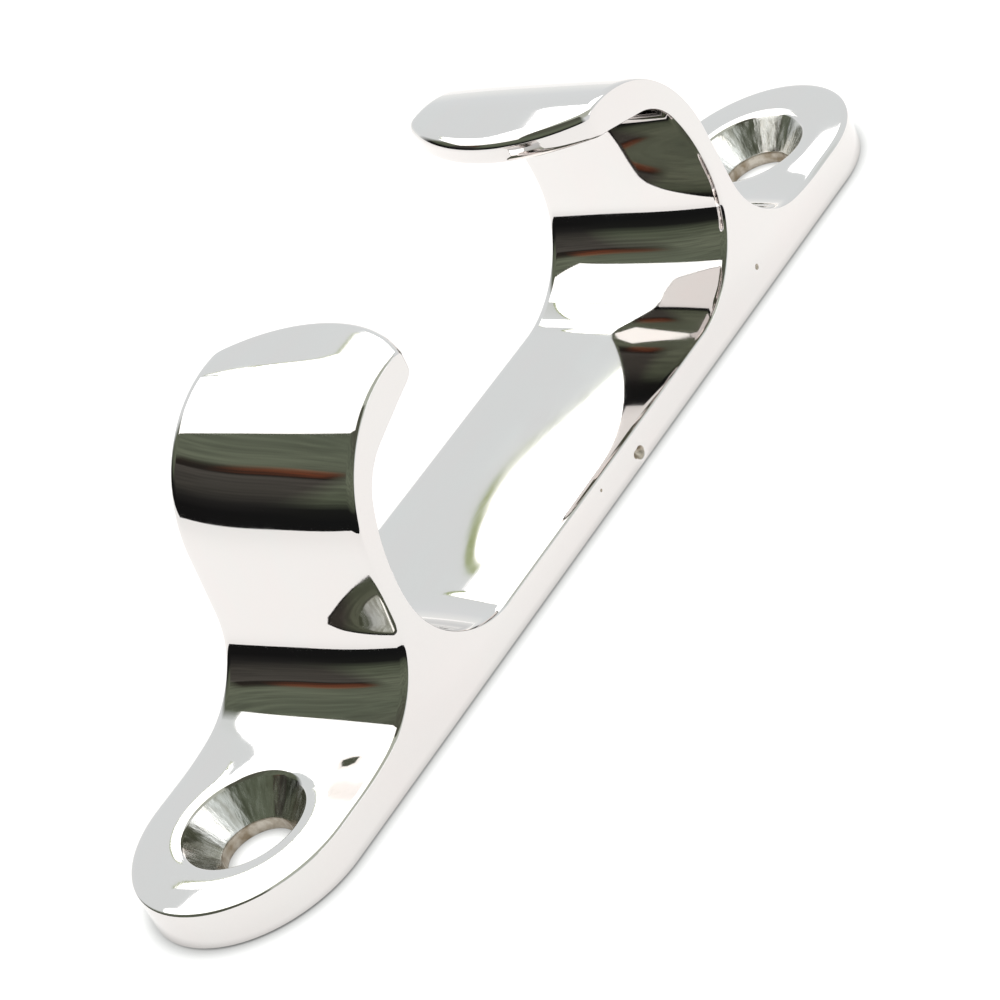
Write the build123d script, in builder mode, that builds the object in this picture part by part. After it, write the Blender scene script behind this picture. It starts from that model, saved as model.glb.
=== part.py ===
"""Open bow chock (fairlead): one polished stainless steel casting.

Units are millimetres.  X runs along the chock, Y across it and Z up.  The
origin is the centre of the flat base, where the chock meets the deck.
"""

import os
from math import cos, radians, sin

from build123d import *

# ---- overall size ----
LENGTH = 152.0  # over the rounded ends of the two mounting pads
WIDTH = 26.7  # between the flat front and back faces
HEIGHT = 38.6  # deck to the top of the horns

# ---- mounting pads ----
PAD_EDGE = 5.3  # pad thickness at its rim
PAD_CROWN = 0.5  # how far the pad rises from the rim to the screw hole
PAD_END = 15.0  # length of the half ellipse that ends each pad
HOLE_SPACING = 123.3  # centre to centre of the two screw holes
HOLE_RADIUS = 4.25  # clears an M8 or 5/16 in screw
SINK_RADIUS = 7.5  # mouth of the countersink
SINK_ANGLE = 82.0  # included angle of the countersink

# ---- outside of a horn, from the pad up ----
FOOT_X = 51.9  # where the pad turns up into the horn
FOOT_RADIUS = 11.0
WALL_LEAN = 5.0  # the wall leans inwards by this many degrees
SHOULDER_RADIUS = 16.8

# ---- throat that holds the rope, from the floor up and over to the lip ----
FLOOR = 4.7  # thickness of the floor between the horns
CRADLE_X = 23.9  # where the flat floor starts to curve up
CRADLE_RADIUS = 13.2
SIDE_RADIUS = 26.0
SIDE_TURN = 22.6
CROOK_RADIUS = 8.0
CROOK_TURN = 49.4
LIP_RUN = 5.9  # straight stretch under the lip
LIP_RADIUS = 28.5  # the underside flattens out towards the tip

# ---- lip tips ----
GAP = 33.0  # opening between the two tips, at mid width
TIP_RADIUS = 20.3  # each tip is an arc, seen from above
TIP_ROUND = 1.0  # rounding along the tip's top and bottom edges
TIP_SPARE = 4.0  # the lips are drawn this much longer, then trimmed

# ---- finishing ----
EDGE_ROUND = 0.4  # polished edges of the front and back faces
BASE_BREAK = 0.3  # broken edge round the base

# ---- worked out from the sizes above ----
lean = radians(WALL_LEAN)
turned_height = (FOOT_RADIUS + SHOULDER_RADIUS) * (1 - sin(lean))
wall_length = (HEIGHT - PAD_EDGE - turned_height) / cos(lean)
lip_turn = 90 - SIDE_TURN - CROOK_TURN
pad_centre = LENGTH / 2 - PAD_END
tip_centre = GAP / 2 + TIP_RADIUS
spare_x = GAP / 2 - TIP_SPARE
hole_x = HOLE_SPACING / 2
crown_radius = WIDTH / 2 - EDGE_ROUND
sink_z = PAD_EDGE + PAD_CROWN * (1 - (SINK_RADIUS / crown_radius) ** 2)

os.makedirs("parts", exist_ok=True)

# ---- the shallow dome that crowns each pad, about its own axis ----
with BuildPart() as crown:
    with BuildSketch(Plane.XZ):
        with BuildLine():
            Polyline(
                (0, PAD_CROWN),
                (0, -PAD_CROWN),
                (crown_radius, -PAD_CROWN),
                (crown_radius, 0),
            )
            TangentArc((0, PAD_CROWN), (crown_radius, 0), tangent=(1, 0))
        make_face()
    revolve(axis=Axis.Z)

with BuildPart() as chock_body:
    # ---- side view of the casting, drawn for +X and mirrored ----
    with BuildSketch(Plane.XZ):
        with BuildLine():
            # throat: floor, cradle, side, crook and the underside of the lip
            floor = Line((0, FLOOR), (CRADLE_X, FLOOR))
            cradle = JernArc(floor @ 1, floor % 1, CRADLE_RADIUS, 90)
            side = JernArc(cradle @ 1, cradle % 1, SIDE_RADIUS, SIDE_TURN)
            crook = JernArc(side @ 1, side % 1, CROOK_RADIUS, CROOK_TURN)
            under = Line(crook @ 1, crook @ 1 + (crook % 1) * LIP_RUN)
            lip = JernArc(under @ 1, under % 1, LIP_RADIUS, lip_turn)
            # outside: base, pad end, pad, foot, wall and shoulder
            base = Line((0, 0), (LENGTH / 2, 0))
            end = Line(base @ 1, (LENGTH / 2, PAD_EDGE))
            pad = Line(end @ 1, (FOOT_X, PAD_EDGE))
            foot = JernArc(pad @ 1, pad % 1, FOOT_RADIUS, WALL_LEAN - 90)
            wall = Line(foot @ 1, foot @ 1 + (foot % 1) * wall_length)
            shoulder = JernArc(wall @ 1, wall % 1, SHOULDER_RADIUS, 90 - WALL_LEAN)
            # close the end of the lip and the middle of the floor
            Polyline(shoulder @ 1, (spare_x, HEIGHT), (spare_x, (lip @ 1).Y), lip @ 1)
            Line(base @ 0, floor @ 0)
        make_face()
        mirror(about=Plane.YZ)
    extrude(amount=WIDTH / 2, both=True)

    # ---- plan view: straight sides with elliptical ends ----
    with BuildSketch():
        Rectangle(2 * pad_centre, WIDTH)
        with Locations((-pad_centre, 0), (pad_centre, 0)):
            Ellipse(PAD_END, WIDTH / 2)
    extrude(amount=HEIGHT, mode=Mode.INTERSECT)

    # ---- the two lips are trimmed to arcs ----
    with BuildSketch(Plane.XY.offset(HEIGHT / 2)):
        Rectangle(GAP + 4 * TIP_SPARE, 2 * WIDTH)
        with Locations((-tip_centre, 0), (tip_centre, 0)):
            Circle(TIP_RADIUS, mode=Mode.SUBTRACT)
    extrude(amount=HEIGHT, mode=Mode.SUBTRACT)

    # ---- rounded tips, then the polished edges of the front and back faces ----
    tips = chock_body.faces().filter_by(lambda face: abs(abs(face.center().X) - GAP / 2) < 1)
    fillet(tips.edges().filter_by(lambda edge: edge.length > WIDTH), TIP_ROUND)
    sides = chock_body.faces().filter_by(Axis.Y)
    fillet(sides.edges().filter_by(lambda edge: edge.center().Z > 0), EDGE_ROUND)

    # ---- crowned pads, drilled and countersunk for the two deck screws ----
    with Locations((-hole_x, 0, PAD_EDGE), (hole_x, 0, PAD_EDGE)):
        add(crown.part)
    with Locations((-hole_x, 0, sink_z), (hole_x, 0, sink_z)):
        CounterSinkHole(HOLE_RADIUS, SINK_RADIUS, counter_sink_angle=SINK_ANGLE)

    # ---- the sharp rim of the base is broken ----
    base_face = chock_body.faces().sort_by(Axis.Z)[0]
    chamfer(base_face.outer_wire().edges(), BASE_BREAK)

chock_body.part.label = "chock_body"
export_step(chock_body.part, "parts/chock_body.step")
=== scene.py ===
"""Looks for the open bow chock: a mirror-polished stainless casting, rebuilt as a fine quad mesh.

Lengths are in millimetres in the frame's own axes (X along the chock, Y across it, Z up)
until a mesh, light or camera is made, where MM turns them into metres.
"""

from math import ceil, cos, hypot, pi, radians, sin, sqrt

import bmesh
import bpy
import numpy as np
from mathutils import Matrix, Vector, noise
from mathutils.geometry import delaunay_2d_cdt


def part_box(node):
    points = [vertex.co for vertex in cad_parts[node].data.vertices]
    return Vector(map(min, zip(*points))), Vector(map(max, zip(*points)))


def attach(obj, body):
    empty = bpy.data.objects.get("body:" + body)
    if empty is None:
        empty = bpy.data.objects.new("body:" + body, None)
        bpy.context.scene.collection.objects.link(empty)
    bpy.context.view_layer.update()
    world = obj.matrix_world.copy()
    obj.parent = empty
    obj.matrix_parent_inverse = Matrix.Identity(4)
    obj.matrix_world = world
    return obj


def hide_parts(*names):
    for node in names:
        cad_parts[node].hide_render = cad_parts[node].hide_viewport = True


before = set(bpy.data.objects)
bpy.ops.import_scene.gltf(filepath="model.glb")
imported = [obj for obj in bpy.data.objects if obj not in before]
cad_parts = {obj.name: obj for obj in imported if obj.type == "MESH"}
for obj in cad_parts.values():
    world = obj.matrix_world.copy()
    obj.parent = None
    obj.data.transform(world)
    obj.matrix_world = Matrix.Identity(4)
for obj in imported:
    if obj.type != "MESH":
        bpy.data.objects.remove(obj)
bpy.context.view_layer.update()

MM = 0.001

# ---- sizes read from the frame ----
_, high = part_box("chock_body")
HALF_LENGTH = high.x / MM
HALF_WIDTH = high.y / MM
HEIGHT = high.z / MM

# ---- mounting pads ----
PAD_EDGE = 5.3
PAD_END = 15.0  # length of the half ellipse that ends each pad
HOLE_X = 123.3 / 2
HOLE_RADIUS = 4.25
SINK_RADIUS = 7.5
SINK_HALF_ANGLE = radians(41.0)
MOUTH_SINK = 0.12  # the pad sinks this much towards the countersink's mouth
MOUTH_RADIUS = 10.4  # from here inwards

# ---- outside of a horn, from the pad up ----
EASE_X = 56.6  # the pad starts to rise here, in a long curve that leads into the foot
EASE_RADIUS = 45.0
EASE_TURN = radians(8.0)
FOOT_X = EASE_X - EASE_RADIUS * sin(EASE_TURN)
FOOT_RADIUS = 11.0
WALL_LEAN = radians(5.0)
SHOULDER_RADIUS = 16.8

# ---- throat, from the floor up and over to the lip ----
FLOOR = 4.7
CRADLE_X = 23.9
CRADLE_RADIUS = 13.2
SIDE_RADIUS = 26.0
SIDE_TURN = radians(22.6)
CROOK_RADIUS = 8.0
CROOK_TURN = radians(49.4)
LIP_RUN = 5.9
LIP_RADIUS = 28.5
LIP_TURN = pi / 2 - SIDE_TURN - CROOK_TURN

# ---- lip tips ----
GAP = 33.0  # between the two tips, at mid width
TIP_RADIUS = 20.3  # of each tip, seen from above
TIP_ROUND = 1.0

# ---- hand finishing ----
SWELL = 0.2  # polishing leaves the skin this proud at mid width
FALL = 0.5  # and this much lower again beside the front and back faces
FALL_POWER = 3
FALL_SHARES = [(5.6, 0.6), (14.0, 1.2), (22.0, 1.2), (38.0, 0.35)]  # share of FALL, by height
ROLL_WIDTH = 1.0  # the last of the skin is rolled over into the face
ROLL_DROP = 0.25
BASE_BREAK = 0.3  # broken edge round the base
RIM_ROUND = 0.3  # rounding at the countersink's mouth
RIM_RADIUS = SINK_RADIUS + RIM_ROUND
NECK_ROUND = 0.2  # and where the cone meets the bore
WAVE_LENGTH = 15.0  # slow waves that a polishing wheel leaves
WAVE_HEIGHT = 0.010
CALM_BASE = 0.01  # nothing moves up to this far above the base's broken edge
CALM_MOUTH = 0.6  # or within this of the countersink's mouth
# casting pits that polishing left open on the front face: x, z, radius, depth
PITS = [(5.5, 1.6, 1.0, 0.95), (4.7, 1.9, 0.6, 0.5), (38.2, 3.9, 0.45, 0.35), (-3.2, 3.1, 0.25, 0.15)]
PIT_CAST = 0.75  # share of a pit's radius that shows bare casting
PIT_REACH = 0.9  # down to this far under the front face
ON_FACE = 0.001  # points this near the front face are on it
# dimples that the polishing wheel dragged: x, y, radius, depth on the pad
DIMPLES = [(-50.9, -8.6, 1.7, 0.08)]
DIMPLE_REACH = 1.0  # dimples move only what is less than this far above the pad's rim

# ---- mesh density ----
SPACING = 1.0  # longest step along the skin
MAX_TURN = radians(4.5)  # largest step round a bend
ROLL_STEPS = 9
ROUND_STEPS = 7
TIP_FACE_STEPS = 3  # up the tip's upright face
TIP_TOP_STEPS = 6  # from the tip to the shoulder
PAD_RINGS = 7  # from the countersink's mouth out to the pad's edge
MOUTH_STEPS, CONE_STEPS, NECK_STEPS, BORE_STEPS = 4, 12, 3, 6
FACE_MARGIN, FACE_PITCH = 0.7, 1.3  # points spread over the front and back faces
BASE_MARGIN, BASE_PITCH = 1.0, 2.0  # and over the base
HOLE_MARGIN = 0.8  # clear of the bores
PIT_MARGIN = 0.3  # and of the pits
PIT_RINGS = (0.0, 0.3, 0.6, 0.85, 1.0)  # shares of a pit's radius
PIT_SPOKES = 12
WELD = 0.004  # points nearer than this become one
SHARP = radians(40)  # edges that turn more than this stay sharp
TINY = 1e-6  # allowance for rounding in comparisons

KEEP_INSIDE = 1  # the triangulation keeps only what is inside the outline

POLISHED, GROUND, TURNED, CAST = range(4)  # material slots of the mesh


# ---------------------------------------------------------------- side view

def steps(length, turn=0.0):
    """How many steps a stretch takes, from its length and from how far it turns."""
    return max(2, ceil(length / SPACING), ceil(abs(turn) / MAX_TURN))


def line(start, heading, length):
    """Points after start along a straight line, and the heading at its end."""
    count = steps(length)
    direction = np.array((cos(heading), sin(heading)))
    return [np.array(start) + direction * length * i / count for i in range(1, count + 1)], heading


def arc(start, heading, radius, turn):
    """Points after start along an arc that turns left, or right if turn is negative."""
    side = 1 if turn > 0 else -1
    centre = np.array(start) + side * radius * np.array((-sin(heading), cos(heading)))
    count = steps(radius * abs(turn), turn)
    angles = [heading + turn * i / count for i in range(1, count + 1)]
    return [centre + side * radius * np.array((sin(a), -cos(a))) for a in angles], heading + turn


def chain(start, heading, moves):
    """One polyline of lines and arcs, each tangent to the one before it."""
    points = [np.array(start, float)]
    for maker, *sizes in moves:
        more, heading = maker(points[-1], heading, *sizes)
        points += more
    return points


def throat():
    """The +X half of the throat, from the middle of its floor to where the lip starts to level out."""
    return chain((0, FLOOR), 0.0, [
        (line, CRADLE_X),
        (arc, CRADLE_RADIUS, pi / 2),
        (arc, SIDE_RADIUS, SIDE_TURN),
        (arc, CROOK_RADIUS, CROOK_TURN),
        (line, LIP_RUN),
    ])


def outside():
    """The outside of the +X horn, from its shoulder down to the pad."""
    start = (FOOT_X, PAD_EDGE + EASE_RADIUS * (1 - cos(EASE_TURN)))
    rise = FOOT_RADIUS * (cos(EASE_TURN) - sin(WALL_LEAN)) + SHOULDER_RADIUS * (1 - sin(WALL_LEAN))
    wall = (HEIGHT - start[1] - rise) / cos(WALL_LEAN)
    up = chain(start, pi - EASE_TURN, [
        (arc, FOOT_RADIUS, WALL_LEAN + EASE_TURN - pi / 2),
        (line, wall),
        (arc, SHOULDER_RADIUS, pi / 2 - WALL_LEAN),
    ])
    return up[::-1]


THROAT = throat()
OUTSIDE = outside()
LIP_START = THROAT[-1]
LIP_CENTRE = LIP_START - LIP_RADIUS * np.array((sin(pi - LIP_TURN), -cos(pi - LIP_TURN)))


def under_lip(x):
    """Height of the lip's underside at x."""
    return LIP_CENTRE[1] + sqrt(LIP_RADIUS**2 - (x - LIP_CENTRE[0]) ** 2)


def tip_x(y, depth=0.0):
    """Where the tip, an arc in plan, stands at y; depth is measured into the metal."""
    return GAP / 2 + TIP_RADIUS - sqrt((TIP_RADIUS - depth) ** 2 - y**2)


def tip(y):
    """The rounded end of the +X lip at y, from the underside over to the top."""
    inner = tip_x(y, TIP_ROUND)
    count = steps(LIP_RADIUS * LIP_TURN, LIP_TURN)
    level = [LIP_START[0] + (inner - LIP_START[0]) * i / count for i in range(1, count)]
    points = [(x, under_lip(x)) for x in level]
    for i in range(ROUND_STEPS + 1):
        a = pi / 2 * (1 - i / ROUND_STEPS)
        x = tip_x(y, TIP_ROUND * (1 - cos(a)))
        points.append((x, under_lip(x) + TIP_ROUND * (1 - sin(a))))
    bottom, top = points[-1][1], HEIGHT - TIP_ROUND
    points += [(tip_x(y), bottom + (top - bottom) * i / TIP_FACE_STEPS) for i in range(1, TIP_FACE_STEPS)]
    for i in range(ROUND_STEPS + 1):
        a = pi / 2 * i / ROUND_STEPS
        points.append((tip_x(y, TIP_ROUND * (1 - cos(a))), top + TIP_ROUND * sin(a)))
    run = OUTSIDE[0][0] - inner
    points += [(inner + run * i / TIP_TOP_STEPS, HEIGHT) for i in range(1, TIP_TOP_STEPS)]
    return [np.array(p) for p in points]


def fall(share, height):
    """How far the skin lies under its nominal surface, at a share of the way from mid width to a face."""
    local = FALL_SHARES[0][1]
    for (z0, first), (z1, second) in zip(FALL_SHARES, FALL_SHARES[1:]):
        if height > z0:
            t = min(1.0, (height - z0) / (z1 - z0))
            local = first + (second - first) * (1 - cos(pi * t)) / 2
    return FALL * local * share**FALL_POWER - SWELL


def skin_line(y, drop=0.0):
    """The upper skin at y, from the -X foot over both horns to the +X foot.

    It is moved into the metal by drop on top of its own fall.
    """
    half = np.array(THROAT + tip(y) + OUTSIDE)
    full = np.vstack((half[:0:-1] * (-1, 1), half))
    along = np.gradient(full, axis=0)
    along /= np.linalg.norm(along, axis=1)[:, None]
    inward = np.column_stack((along[:, 1], -along[:, 0]))
    inward[0] = inward[-1] = (0, -1)
    depth = [drop + fall(abs(y) / HALF_WIDTH, z) for _, z in full]
    return full + np.array(depth)[:, None] * inward


# ---------------------------------------------------------------- top view

def roll(i):
    """(distance from the face, drop) of step i of the rolled edge, from the skin out to the face."""
    a = pi / 2 * i / ROLL_STEPS
    return ROLL_WIDTH * (1 - sin(a)), ROLL_DROP * (1 - cos(a))


def pad_outline(inset):
    """The free edge of the +X pad from above, from the +Y side round the end to the -Y side."""
    across, along = HALF_WIDTH - inset, PAD_END - inset
    straight = np.linspace(FOOT_X, HALF_LENGTH - PAD_END, steps(HALF_LENGTH - PAD_END - FOOT_X) + 1)
    count = steps(pi * PAD_END, pi)
    end = [pi / 2 - pi * i / count for i in range(1, count)]
    points = [(x, across) for x in straight]
    points += [(HALF_LENGTH - PAD_END + along * cos(a), across * sin(a)) for a in end]
    return points + [(x, -across) for x in straight[::-1]]


def pad_end(inset):
    """Only the round end of the pad's outline."""
    limit = HALF_LENGTH - PAD_END - TINY
    return [p for p in pad_outline(inset) if p[0] > limit]


def pad_top(x, y):
    """Height of the pad's surface, without its rolled edge."""
    x = abs(x)
    share = hypot(y / HALF_WIDTH, max(0.0, x - HALF_LENGTH + PAD_END) / PAD_END)
    near = min(1.0, max(0.0, (MOUTH_RADIUS - hypot(x - HOLE_X, y)) / (MOUTH_RADIUS - SINK_RADIUS)))
    level = PAD_EDGE + EASE_RADIUS - sqrt(EASE_RADIUS**2 - max(0.0, EASE_X - x) ** 2)
    return level - MOUTH_SINK * near**2 - fall(share, level)


ACROSS = HALF_WIDTH - ROLL_WIDTH
INNER_ROWS = list(np.linspace(-ACROSS, ACROSS, steps(2 * ACROSS) + 1))
PAD_SIDE = PAD_EDGE - fall(1.0, PAD_EDGE) - ROLL_DROP  # top of the pads' upright sides
WALL_ROWS = list(np.linspace(PAD_SIDE, BASE_BREAK, steps(PAD_EDGE) + 1))
BASE_LINE = list(np.linspace(PAD_END - HALF_LENGTH, HALF_LENGTH - PAD_END, steps(2 * HALF_LENGTH) + 1))


def pad_loop():
    """The +X pad's whole edge from above, inside its rolled edge and closed along the foot."""
    return pad_outline(ROLL_WIDTH) + [(FOOT_X, y) for y in INNER_ROWS[1:-1]]


HOLE_CENTRE = np.array((HOLE_X, 0.0))
PAD_LOOP = pad_loop()
SPOKES = [(np.array(p) - HOLE_CENTRE) / np.linalg.norm(np.array(p) - HOLE_CENTRE) for p in PAD_LOOP]


def side_outline():
    """The edge of the flat front and back faces, seen from the side."""
    skin = [tuple(p) for p in skin_line(HALF_WIDTH, ROLL_DROP)]
    top = sorted({x for x, y in pad_outline(0.0) if y > HALF_WIDTH - TINY and x > FOOT_X + TINY})
    pad = [(x, pad_top(x, HALF_WIDTH) - ROLL_DROP) for x in top]
    down = [(HALF_LENGTH - PAD_END, z) for z in WALL_ROWS[1:]]
    right = pad + down
    left = [(-x, z) for x, z in right][::-1]
    return left + skin + right + [(x, BASE_BREAK) for x in BASE_LINE[-2:0:-1]]


def scatter(outline, margin, pitch):
    """Evenly staggered points inside an outline, clear of its edge."""
    edge = np.array(outline)
    lo, hi = edge.min(axis=0), edge.max(axis=0)
    ends = np.roll(edge, -1, axis=0)
    found = []
    for row, v in enumerate(np.arange(lo[1] + pitch / 2, hi[1], pitch * sqrt(3) / 2)):
        for u in np.arange(lo[0] + pitch / 2 * (1 + row % 2), hi[0], pitch):
            crossing = (edge[:, 1] > v) != (ends[:, 1] > v)
            rise = np.where(crossing, ends[:, 1] - edge[:, 1], 1.0)
            at = edge[:, 0] + (v - edge[:, 1]) / rise * (ends[:, 0] - edge[:, 0])
            inside = np.count_nonzero(crossing & (at > u)) % 2
            if inside and np.hypot(edge[:, 0] - u, edge[:, 1] - v).min() > margin:
                found.append((float(u), float(v)))
    return found


# ---------------------------------------------------------------- mesh patches

class Shell:
    """Patches of points and faces, welded into one closed mesh at the end."""

    def __init__(self):
        self.points, self.faces, self.finishes = [], [], []

    def grid(self, rows, finish=POLISHED, closed=False):
        """Quads between neighbouring rows of points."""
        base, width = len(self.points), len(rows[0])
        for row in rows:
            self.points += [tuple(p) for p in row]
        for i in range(len(rows) - 1):
            for j in range(width if closed else width - 1):
                k = (j + 1) % width
                a, b = base + i * width, base + (i + 1) * width
                self.faces.append((a + j, a + k, b + k, b + j))
                self.finishes.append(finish)

    def flat(self, outline, inside, place, finish=POLISHED, holes=()):
        """A flat face: an even triangulation of an outline, with inside points and screw holes.

        Each hole is its loop of points and the x of its centre.
        """
        loops = [outline, *(loop for loop, _ in holes)]
        points, edges = [], []
        for loop in loops:
            first = len(points)
            points += loop
            edges += [(first + i, first + (i + 1) % len(loop)) for i in range(len(loop))]
        points = [Vector(p) for p in points + inside]
        border = [list(range(len(outline)))]
        verts, _, faces, *_ = delaunay_2d_cdt(points, edges, border, KEEP_INSIDE, TINY)
        base = len(self.points)
        self.points += [place(*v) for v in verts]
        for face in faces:
            mid = sum((verts[i] for i in face), Vector((0, 0))) / len(face)
            if any(hypot(mid.x - x, mid.y) < HOLE_RADIUS for _, x in holes):
                continue
            self.faces.append(tuple(base + i for i in face))
            self.finishes.append(finish)

    def mesh(self, name):
        """The welded mesh, in metres, with its faces turned outwards."""
        data = bpy.data.meshes.new(name)
        data.from_pydata([[c * MM for c in p] for p in self.points], [], self.faces)
        data.polygons.foreach_set("material_index", self.finishes)
        work = bmesh.new()
        work.from_mesh(data)
        bmesh.ops.remove_doubles(work, verts=work.verts, dist=WELD * MM)
        bmesh.ops.recalc_face_normals(work, faces=work.faces)
        work.to_mesh(data)
        work.free()
        return data


def both(rows):
    """A patch and its mirror image at the -X end."""
    return rows, [[(-x, y, z) for x, y, z in row] for row in rows]


def add_skin(shell):
    """The horns and throat: one band from foot to foot, with both edges rolled off."""
    rows = []
    for i in range(ROLL_STEPS, 0, -1):
        inset, drop = roll(i)
        rows.append((-HALF_WIDTH + inset, drop))
    rows += [(y, 0.0) for y in INNER_ROWS]
    rows += [(-y, drop) for y, drop in rows[:ROLL_STEPS][::-1]]
    shell.grid([[(x, y, z) for x, z in skin_line(y, drop)] for y, drop in rows])


def curve(a, b, c, count):
    """Points on the rounding that leaves a towards b and arrives at c."""
    return [(1 - t) ** 2 * a + 2 * t * (1 - t) * b + t**2 * c for t in np.linspace(0, 1, count + 1)]


def hole_rings():
    """(radius, height) rings from the pad down the countersink and bore, and their finish."""
    mouth_z = pad_top(HOLE_X, SINK_RADIUS)
    neck_z = mouth_z - (SINK_RADIUS - HOLE_RADIUS) / np.tan(SINK_HALF_ANGLE)
    slope = np.array((sin(SINK_HALF_ANGLE), cos(SINK_HALF_ANGLE)))
    mouth, neck = np.array((SINK_RADIUS, mouth_z)), np.array((HOLE_RADIUS, neck_z))
    start = np.array((RIM_RADIUS, mouth_z))
    rim = curve(start, mouth, mouth - slope * RIM_ROUND, MOUTH_STEPS)
    cone = list(np.linspace(mouth - slope * RIM_ROUND, neck + slope * NECK_ROUND, CONE_STEPS))
    turn = curve(neck + slope * NECK_ROUND, neck, neck - (0, NECK_ROUND), NECK_STEPS)
    bore = list(np.linspace(neck - (0, NECK_ROUND), (HOLE_RADIUS, 0.0), BORE_STEPS))
    return [(rim, POLISHED), (cone + turn[1:2], TURNED), (turn[1:] + bore[1:], CAST)]


def rim_lift(point, r, mouth_z):
    """How far the round rim bends up to meet the pad's surface, which isn't quite level there."""
    share = max(0.0, (r - SINK_RADIUS) / RIM_ROUND)
    return (pad_top(*point) - mouth_z) * share


def add_pad_tops(shell):
    """The pads' upper surfaces, and the rolled edge round each."""
    rings = []
    for i in range(PAD_RINGS + 1):
        ring = [HOLE_CENTRE + s * RIM_RADIUS * (1 - i / PAD_RINGS)
                + (np.array(p) - HOLE_CENTRE) * i / PAD_RINGS for s, p in zip(SPOKES, PAD_LOOP)]
        rings.append([(x, y, pad_top(x, y)) for x, y in ring])
    edge = []
    for i in range(ROLL_STEPS + 1):
        inset, drop = roll(i)
        edge.append([(x, y, pad_top(x, y) - drop) for x, y in pad_outline(inset)])
    for patch in both(rings):
        shell.grid(patch, closed=True)
    for patch in both(edge):
        shell.grid(patch)


def add_screw_holes(shell):
    """The countersinks and bores."""
    mouth_z = pad_top(HOLE_X, SINK_RADIUS)
    for profile, finish in hole_rings():
        wall = [[(*(HOLE_CENTRE + s * r), z + rim_lift(HOLE_CENTRE + s * RIM_RADIUS, r, mouth_z))
                 for s in SPOKES] for r, z in profile]
        for patch in both(wall):
            shell.grid(patch, finish, closed=True)


def add_pad_ends(shell):
    """The upright round ends of the pads, and the broken edge under them."""
    ends = [[(x, y, z) for x, y in pad_end(0.0)] for z in WALL_ROWS]
    broken = [[(x, y, BASE_BREAK) for x, y in pad_end(0.0)], [(x, y, 0.0) for x, y in pad_end(BASE_BREAK)]]
    for patch in (*both(ends), *both(broken)):
        shell.grid(patch)


def pit_points():
    """Rings of points that give each pit enough mesh to be round."""
    found = []
    for x, z, r, _ in PITS:
        for share in PIT_RINGS:
            count = 1 if share == 0 else PIT_SPOKES
            found += [(x + r * share * cos(2 * pi * i / count), z + r * share * sin(2 * pi * i / count))
                      for i in range(count)]
    return found


def add_faces(shell):
    """The flat front and back faces."""
    outline = [tuple(map(float, p)) for p in side_outline()]
    spread = scatter(outline, FACE_MARGIN, FACE_PITCH)
    clear = [(u, v) for u, v in spread if all(hypot(u - x, v - z) > r + PIT_MARGIN for x, z, r, _ in PITS)]
    shell.flat(outline, clear + pit_points(), lambda u, v: (u, -HALF_WIDTH, v))
    shell.flat(outline, spread, lambda u, v: (u, HALF_WIDTH, v))


def add_base(shell):
    """The flat base with its two holes, and its broken edge along the front and back faces."""
    for side in (-1, 1):
        low_edge = [(x, side * (HALF_WIDTH - BASE_BREAK), 0.0) for x in BASE_LINE]
        shell.grid([[(x, side * HALF_WIDTH, BASE_BREAK) for x in BASE_LINE], low_edge])
    half = pad_end(BASE_BREAK) + [(x, BASE_BREAK - HALF_WIDTH) for x in BASE_LINE[-2:0:-1]]
    loop = half + [(-x, -y) for x, y in half]
    loop = [tuple(map(float, p)) for p in loop]
    hole = [tuple(map(float, HOLE_CENTRE + s * HOLE_RADIUS)) for s in SPOKES]
    holes = [(hole, HOLE_X), ([(-x, y) for x, y in hole], -HOLE_X)]
    spread = scatter(loop, BASE_MARGIN, BASE_PITCH)
    inside = [p for p in spread if hypot(abs(p[0]) - HOLE_X, p[1]) > HOLE_RADIUS + HOLE_MARGIN]
    shell.flat(loop, inside, lambda u, v: (u, v, 0.0), GROUND, holes)


# ---------------------------------------------------------------- the casting

def bowl(distance, radius, depth):
    """Depth of a smooth round hollow at a distance from its centre."""
    return depth * (1 - (distance / radius) ** 2) ** 2 if distance < radius else 0.0


def hand_finish(data):
    """Adds what polishing by hand leaves: slow waves, the pits, the dimples and sharp edges."""
    work = bmesh.new()
    work.from_mesh(data)
    work.normal_update()
    for v in work.verts:
        x, y, z = v.co / MM
        if z < BASE_BREAK + CALM_BASE or hypot(abs(x) - HOLE_X, y) < SINK_RADIUS + CALM_MOUTH:
            continue
        wave = WAVE_HEIGHT * noise.noise(Vector((x, y, z)) / WAVE_LENGTH)
        shift = v.normal * wave
        if y < ON_FACE - HALF_WIDTH:
            shift.y += sum(bowl(hypot(x - px, z - pz), r, d) for px, pz, r, d in PITS)
        if z < PAD_EDGE + DIMPLE_REACH:
            shift.z -= sum(bowl(hypot(x - px, y - py), r, d) for px, py, r, d in DIMPLES)
        v.co += shift * MM
    for face in work.faces:
        x, y, z = face.calc_center_median() / MM
        in_front = y < PIT_REACH - HALF_WIDTH
        if in_front and any(hypot(x - px, z - pz) < PIT_CAST * r for px, pz, r, _ in PITS):
            face.material_index = CAST
    for edge in work.edges:
        edge.smooth = edge.calc_face_angle() < SHARP
    work.to_mesh(data)
    work.free()


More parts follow.
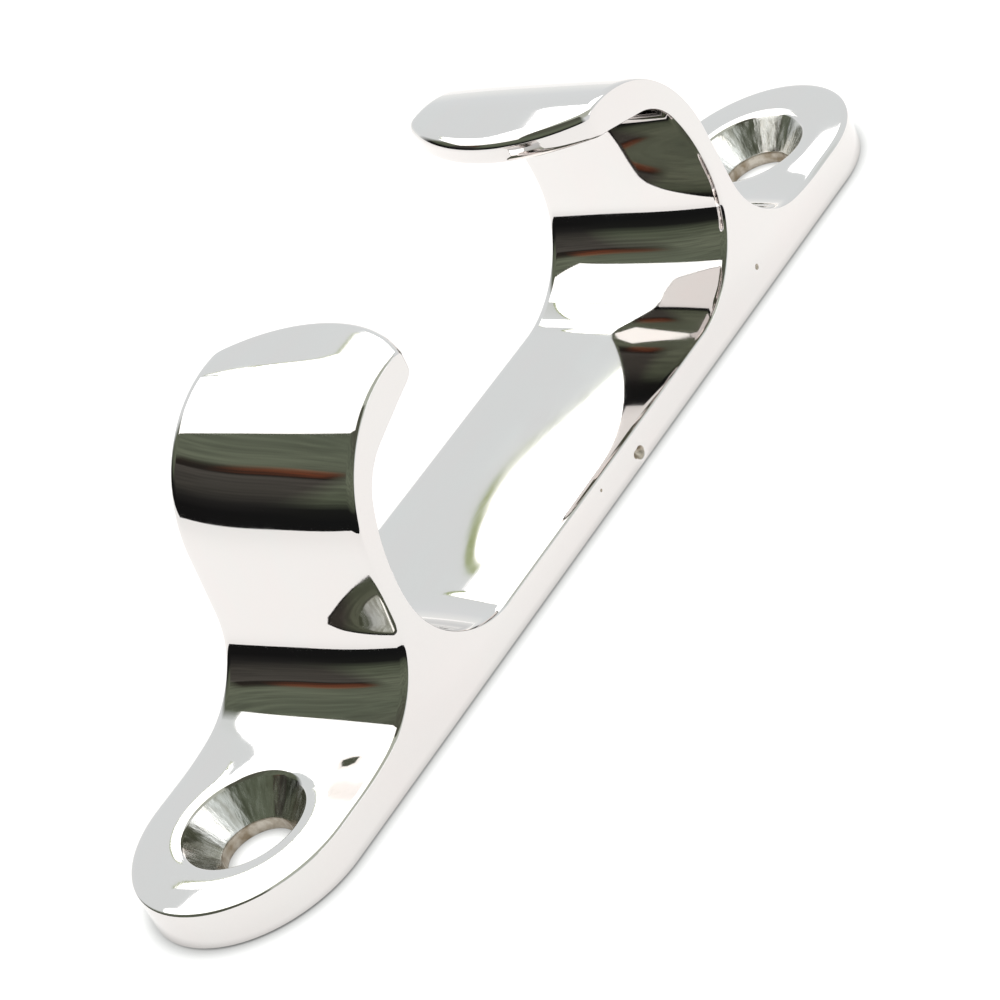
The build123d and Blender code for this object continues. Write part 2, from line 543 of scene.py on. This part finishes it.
def build_chock():
    """The whole casting as one closed mesh object, in place of the CAD node."""
    shell = Shell()
    for add in (add_skin, add_pad_tops, add_screw_holes, add_pad_ends, add_faces, add_base):
        add(shell)
    data = shell.mesh("chock_casting")
    hand_finish(data)
    data.polygons.foreach_set("use_smooth", [True] * len(data.polygons))
    for make in (polished_steel, ground_steel, turned_steel, cast_steel):
        data.materials.append(make())
    chock = bpy.data.objects.new("chock_casting", data)
    bpy.context.scene.collection.objects.link(chock)
    weighted = chock.modifiers.new("even_shading", "WEIGHTED_NORMAL")
    weighted.mode = "FACE_AREA"
    weighted.keep_sharp = True
    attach(chock, "root")
    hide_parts("chock_body")


# ---------------------------------------------------------------- node helpers

def calculate(tree, operation, first, second=None):
    """One step of arithmetic on sockets or numbers."""
    node = tree.nodes.new("ShaderNodeMath")
    node.operation = operation
    for socket, value in zip(node.inputs, (first, second)):
        if isinstance(value, bpy.types.NodeSocket):
            tree.links.new(value, socket)
        elif value is not None:
            socket.default_value = value
    return node.outputs[0]


def remap(tree, value, lo, hi, start=0.35, end=0.65):
    """value from start..end becomes lo..hi. Most of a noise texture lies between 0.35 and 0.65."""
    node = tree.nodes.new("ShaderNodeMapRange")
    for socket, number in zip(("From Min", "From Max", "To Min", "To Max"), (start, end, lo, hi)):
        node.inputs[socket].default_value = number
    tree.links.new(value, node.inputs["Value"])
    return node.outputs[0]


def blend(tree, share, first, second):
    """A mix of two colours, each a socket or three numbers."""
    node = tree.nodes.new("ShaderNodeMix")
    node.data_type = "RGBA"
    tree.links.new(share, next(i for i in node.inputs if i.name == "Factor" and i.type == "VALUE"))
    for name, color in (("A", first), ("B", second)):
        socket = next(i for i in node.inputs if i.name == name and i.type == "RGBA")
        if isinstance(color, bpy.types.NodeSocket):
            tree.links.new(color, socket)
        else:
            socket.default_value = (*color, 1)
    return next(o for o in node.outputs if o.type == "RGBA")


def texture(tree, place, scale, stretch=(1, 1, 1), detail=2.0):
    """A noise texture of about scale features for each unit of place."""
    spread = tree.nodes.new("ShaderNodeMapping")
    spread.inputs["Scale"].default_value = stretch
    tree.links.new(place, spread.inputs["Vector"])
    clouds = tree.nodes.new("ShaderNodeTexNoise")
    clouds.inputs["Scale"].default_value = scale
    clouds.inputs["Detail"].default_value = detail
    tree.links.new(spread.outputs[0], clouds.inputs["Vector"])
    return clouds.outputs["Fac"]


def bump(tree, shader, height, depth):
    """Relief of the given depth in metres."""
    node = tree.nodes.new("ShaderNodeBump")
    node.inputs["Strength"].default_value = 1.0
    node.inputs["Distance"].default_value = depth
    tree.links.new(height, node.inputs["Height"])
    tree.links.new(node.outputs[0], shader.inputs["Normal"])


def plain_material(name, color, **sockets):
    """A material with these values on its shader's own sockets, its node tree and its shader."""
    material = bpy.data.materials.new(name)
    material.use_nodes = True
    shader = material.node_tree.nodes["Principled BSDF"]
    shader.inputs["Base Color"].default_value = (*color, 1)
    for socket, value in sockets.items():
        shader.inputs[socket].default_value = value
    return material, material.node_tree, shader


# ---------------------------------------------------------------- materials

STEEL = (0.785, 0.729, 0.716)
WORN_STEEL = (0.76, 0.745, 0.73)
BELT_STEEL = (0.62, 0.61, 0.59)
CUT_STEEL = (0.72, 0.70, 0.67)
# painted reflection streaks for the countersink's colour, dark and light
PAINTED_STREAK_DARK, PAINTED_STREAK_LIGHT = (0.52, 0.50, 0.46), (0.86, 0.85, 0.83)
RAW_STEEL = (0.42, 0.36, 0.28)
RAW_DARK, RAW_LIGHT = (0.30, 0.24, 0.17), (0.62, 0.57, 0.5)


def steel(name, color, roughness):
    """A metal material, its node tree, its shader and its coordinates in metres."""
    material, tree, shader = plain_material(name, color, Metallic=1.0, Roughness=roughness)
    return material, tree, shader, tree.nodes.new("ShaderNodeTexCoord").outputs["Object"]


def polished_steel():
    """Mirror polish, with faint smears and the hair-fine lines of the buffing wheel."""
    material, tree, shader, place = steel("polished_stainless", STEEL, 0.03)
    smear = texture(tree, place, scale=90, stretch=(1, 2.5, 1), detail=3)
    tree.links.new(remap(tree, smear, 0.022, 0.05), shader.inputs["Roughness"])
    tree.links.new(blend(tree, smear, STEEL, WORN_STEEL), shader.inputs["Base Color"])
    lines = texture(tree, place, scale=160, stretch=(1, 28, 28), detail=4)
    bump(tree, shader, lines, depth=0.4e-6)
    return material


def ground_steel():
    """The base, ground flat on a belt along its length."""
    material, tree, shader, place = steel("ground_base", BELT_STEEL, 0.32)
    lines = texture(tree, place, scale=120, stretch=(1, 45, 45), detail=5)
    tree.links.new(remap(tree, lines, 0.22, 0.42), shader.inputs["Roughness"])
    bump(tree, shader, lines, depth=6e-6)
    return material


def turned_steel():
    """The countersink, with streaks that run down the cone: relief in its roughness and bump, and painted
    reflection streaks, light and dark, in its colour.
    """
    material, tree, shader, place = steel("turned_countersink", CUT_STEEL, 0.2)
    parts = tree.nodes.new("ShaderNodeSeparateXYZ")
    tree.links.new(place, parts.inputs[0])
    x, y, z = parts.outputs
    along = calculate(tree, "SUBTRACT", calculate(tree, "ABSOLUTE", x), HOLE_X * MM)
    turn = calculate(tree, "ARCTAN2", y, along)
    across = tree.nodes.new("ShaderNodeCombineXYZ")
    tree.links.new(turn, across.inputs["X"])
    tree.links.new(calculate(tree, "MULTIPLY", z, 60), across.inputs["Y"])  # slow change down the cone
    streaks = texture(tree, across.outputs[0], scale=9, detail=5)
    tree.links.new(remap(tree, streaks, 0.10, 0.32), shader.inputs["Roughness"])
    # painted reflection: the streaks also darken and lighten the colour, standing in for reflections
    # spread down the cone
    color = blend(tree, remap(tree, streaks, 0, 1), PAINTED_STREAK_DARK, PAINTED_STREAK_LIGHT)
    tree.links.new(color, shader.inputs["Base Color"])
    bump(tree, shader, streaks, depth=50e-6)
    return material


def cast_steel():
    """The bores and pits, left rough and stained."""
    material, tree, shader, place = steel("cast_bore", RAW_STEEL, 0.45)
    grain = texture(tree, place, scale=700, detail=4)
    color = blend(tree, remap(tree, grain, 0, 1), RAW_DARK, RAW_LIGHT)
    tree.links.new(color, shader.inputs["Base Color"])
    bump(tree, shader, grain, depth=120e-6)
    return material


# ---------------------------------------------------------------- floor

FLOOR_SIZE = 4.0  # in metres
FLOOR_GAP = 0.05  # the floor lies this far under the base
FLOOR_COLOR = (0.38, 0.38, 0.375)
FLOOR_GLOW = 0.88  # keeps the floor white far from the panels
CONTACT_SHADOW_REACH = 1.6  # painted contact shadow: the glow fades where something stands this near


def floor():
    """A plain pale floor, with a painted contact shadow where its glow fades close to the base."""
    data = bpy.data.meshes.new("floor")
    work = bmesh.new()
    bmesh.ops.create_grid(work, x_segments=1, y_segments=1, size=FLOOR_SIZE / 2)
    work.to_mesh(data)
    work.free()
    ground = bpy.data.objects.new("floor", data)
    ground.location.z = -FLOOR_GAP * MM
    bpy.context.scene.collection.objects.link(ground)
    material, tree, shader = plain_material("pale_floor", FLOOR_COLOR, Roughness=0.8)
    shader.inputs["Specular IOR Level"].default_value = 0.1
    shader.inputs["Emission Color"].default_value = (1, 1, 1, 1)
    # painted shadow: ambient occlusion darkens the floor's glow near the base
    contact_shadow = tree.nodes.new("ShaderNodeAmbientOcclusion")
    contact_shadow.inputs["Distance"].default_value = CONTACT_SHADOW_REACH * MM
    glow = remap(tree, contact_shadow.outputs["AO"], 0.0, FLOOR_GLOW, 0.0, 1.0)
    tree.links.new(glow, shader.inputs["Emission Strength"])
    data.materials.append(material)


# ---------------------------------------------------------------- light panels

SHELF, CEILING = 150, 600  # heights of the near panels and of the far ones
PANEL_RADIANCE = 1.5
FLOOR_PANEL = (590, 404, CEILING), (775, 712, CEILING)
OLIVE = (150, 157, 112)  # the panels' edges, as they look in steel
RIM_TURN = radians(143)  # how far the oval panel's rim goes round
RIM_STEPS = 40
RIM_INNER, RIM_OUTER = -1, 6  # the rim's two edges, measured out from the oval panel's


def linear(red, green, blue):
    """A colour given as it looks on a screen, as light, seen in steel instead of directly."""
    share = [c / 255 for c in (red, green, blue)]
    light = [c / 12.92 if c < 0.04 else ((c + 0.055) / 1.055) ** 2.4 for c in share]
    return tuple(c / metal for c, metal in zip(light, STEEL))


def panel(name, low_corner, high_corner, shape="RECTANGLE"):
    """A level soft light panel, facing down, from its lowest to its highest corner in plan."""
    (x0, y0, z), (x1, y1, _) = low_corner, high_corner
    data = bpy.data.lights.new(name, "AREA")
    data.shape = shape
    data.size, data.size_y = (x1 - x0) * MM, (y1 - y0) * MM
    area = data.size * data.size_y * (pi / 4 if shape == "ELLIPSE" else 1)
    data.energy = PANEL_RADIANCE * pi * area
    light = bpy.data.objects.new(name, data)
    bpy.context.scene.collection.objects.link(light)
    light.location = Vector(((x0 + x1) / 2, (y0 + y1) / 2, z)) * MM
    light.visible_camera = False


def rim(name, height, inner, outer):
    """The dull olive edge of a panel, between two lines seen from above. Only reflections show it."""
    count = len(inner)
    points = [(x * MM, y * MM, height * MM) for x, y in [*inner, *outer]]
    data = bpy.data.meshes.new(name)
    data.from_pydata(points, [], [(i, i + 1, count + i + 1, count + i) for i in range(count - 1)])
    material, _, shader = plain_material(name, (0, 0, 0))
    shader.inputs["Specular IOR Level"].default_value = 0.0
    shader.inputs["Emission Color"].default_value = (*linear(*OLIVE), 1)
    shader.inputs["Emission Strength"].default_value = 1.0
    data.materials.append(material)
    edge = bpy.data.objects.new(name, data)
    bpy.context.scene.collection.objects.link(edge)
    edge.visible_camera = edge.visible_shadow = edge.visible_diffuse = False


def oval(grow):
    """Part of the outline of the oval panel, seen from above and grown by this much."""
    (x0, y0, _), (x1, y1, _) = FLOOR_PANEL
    turns = [RIM_TURN * i / RIM_STEPS for i in range(RIM_STEPS + 1)]
    return [((x0 + x1) / 2 + ((x1 - x0) / 2 + grow) * cos(t),
             (y0 + y1) / 2 + ((y1 - y0) / 2 + grow) * sin(t)) for t in turns]


def lights():
    """Soft panels: two near ones behind the chock, four far behind it, and one in front."""
    panel("back_panel", (-69, 26, SHELF), (50, 160, SHELF))
    panel("right_panel", (52, 26, SHELF), (190, 143, SHELF))
    panel("pad_panel", (380, 480, CEILING), (560, 710, CEILING))
    panel("middle_panel", (560, 480, CEILING), (640, 650, CEILING))
    panel("floor_panel", *FLOOR_PANEL, "ELLIPSE")
    panel("far_panel", (790, 480, CEILING), (900, 650, CEILING))
    panel("front_panel", (20, -420, 330), (300, -250, 330))
    rim("right_rim", SHELF, [(52, 143), (125, 143)], [(52, 144.6), (125, 144.6)])
    rim("pad_rim", CEILING, [(380, 710), (560, 710)], [(380, 717), (560, 717)])
    rim("floor_rim", CEILING, oval(RIM_INNER), oval(RIM_OUTER))


# ---------------------------------------------------------------- room

# what steel shows of each part of the room, by degrees above the horizon
PAPER = [(0, (226, 222, 219)), (12, (212, 210, 210)), (40, (211, 210, 209)), (60, (170, 170, 158))]
WALL = [(5, (20, 20, 20)), (12, (27, 27, 25)), (18, (84, 88, 72)), (30, (104, 107, 90)),
        (47, (96, 100, 84)), (60, (84, 84, 72))]
CABINET = [(8, (20, 19, 19)), (13, (34, 32, 31)), (20, (66, 62, 57)), (28.5, (76, 71, 66)),
           (29, (34, 30, 27)), (31, (44, 38, 33)), (33, (70, 70, 58))]
SHADE = [(0, (22, 21, 20)), (90, (40, 38, 34))]  # in level streaks over the wall and cabinet
STREAK = (128, 66, 40)  # a warm streak along the cabinet's top

# start, end and soft edge in degrees: round the room from +X, or up from the horizon
WALL_ROUND = (92, 230, 12)
CABINET_ROUND, CABINET_UP = (117, 139, 5), (-90, 33, 2)
STREAK_ROUND, STREAK_UP = (127, 137, 4), (30, 33, 2)


def band(tree, angle, start, end, soft):
    """1 where the angle lies between start and end degrees, with soft edges."""
    half = radians(soft) / 2
    rising = remap(tree, angle, 0, 1, radians(start) - half, radians(start) + half)
    falling = remap(tree, angle, 1, 0, radians(end) - half, radians(end) + half)
    return calculate(tree, "MULTIPLY", rising, falling)


def stops(tree, height, colors):
    """Colour by degrees above the horizon."""
    node = tree.nodes.new("ShaderNodeValToRGB")
    tree.links.new(remap(tree, height, 0, 1, 0, pi / 2), node.inputs[0])
    elements = node.color_ramp.elements
    while len(elements) < len(colors):
        elements.new(0.5)
    for element, (elevation, color) in zip(elements, colors):
        element.position = elevation / 90
        element.color = (*linear(*color), 1)
    return node.outputs[0]


def surroundings():
    """The room beyond the panels, by direction: pale paper, with a dark wall and cabinet on the left."""
    world = bpy.data.worlds.new("room")
    bpy.context.scene.world = world
    world.use_nodes = True
    tree = world.node_tree
    direction = tree.nodes.new("ShaderNodeTexCoord").outputs["Generated"]
    parts = tree.nodes.new("ShaderNodeSeparateXYZ")
    tree.links.new(direction, parts.inputs[0])
    x, y, z = parts.outputs
    side = calculate(tree, "ARCTAN2", y, x)
    height = calculate(tree, "ARCSINE", z)
    next_turn = calculate(tree, "ADD", side, 2 * pi)
    left = calculate(tree, "MAXIMUM", band(tree, side, *WALL_ROUND), band(tree, next_turn, *WALL_ROUND))
    cabinet_rise = band(tree, height, *CABINET_UP)
    cabinet = calculate(tree, "MULTIPLY", band(tree, side, *CABINET_ROUND), cabinet_rise)
    dark = blend(tree, cabinet, stops(tree, height, WALL), stops(tree, height, CABINET))
    clutter = texture(tree, direction, scale=6, stretch=(1, 1, 9), detail=6)
    shade = calculate(tree, "MULTIPLY", left, remap(tree, clutter, 0.0, 0.4))
    color = blend(tree, left, stops(tree, height, PAPER), dark)
    color = blend(tree, shade, color, stops(tree, height, SHADE))
    glow = calculate(tree, "MULTIPLY", band(tree, side, *STREAK_ROUND), band(tree, height, *STREAK_UP))
    glow = calculate(tree, "MULTIPLY", glow, remap(tree, clutter, 0.75, 0.1))
    color = blend(tree, glow, color, linear(*STREAK))
    tree.links.new(color, tree.nodes["Background"].inputs["Color"])


# ---------------------------------------------------------------- camera

AZIMUTH = -43.776  # degrees round from the front, -X side negative
ELEVATION = 31.209
ROLL = 26.863
DISTANCE = 436.0  # from the eye to AIM
LENS = 134.68  # on a sensor SENSOR wide
SENSOR = 36.0
AIM = (-7.498, -1.990, 4.976)


def camera():
    """The camera, looking down along the chock from its -X end and held at a tilt."""
    a, e, r = (radians(x) for x in (AZIMUTH, ELEVATION, ROLL))
    back = Vector((sin(a) * cos(e), -cos(a) * cos(e), sin(e)))
    level = Vector((cos(a), sin(a), 0))
    upright = back.cross(level)
    right = cos(r) * level - sin(r) * upright
    up = sin(r) * level + cos(r) * upright
    data = bpy.data.cameras.new("camera")
    data.lens, data.sensor_width = LENS, SENSOR
    data.clip_start, data.clip_end = 0.01, 20.0
    eye = bpy.data.objects.new("camera", data)
    bpy.context.scene.collection.objects.link(eye)
    place = Matrix.Translation((Vector(AIM) + DISTANCE * back) * MM)
    eye.matrix_world = place @ Matrix((right, up, back)).transposed().to_4x4()
    bpy.context.scene.camera = eye


build_chock()
floor()
surroundings()
lights()
camera()
bpy.context.scene.view_settings.view_transform = "Standard"
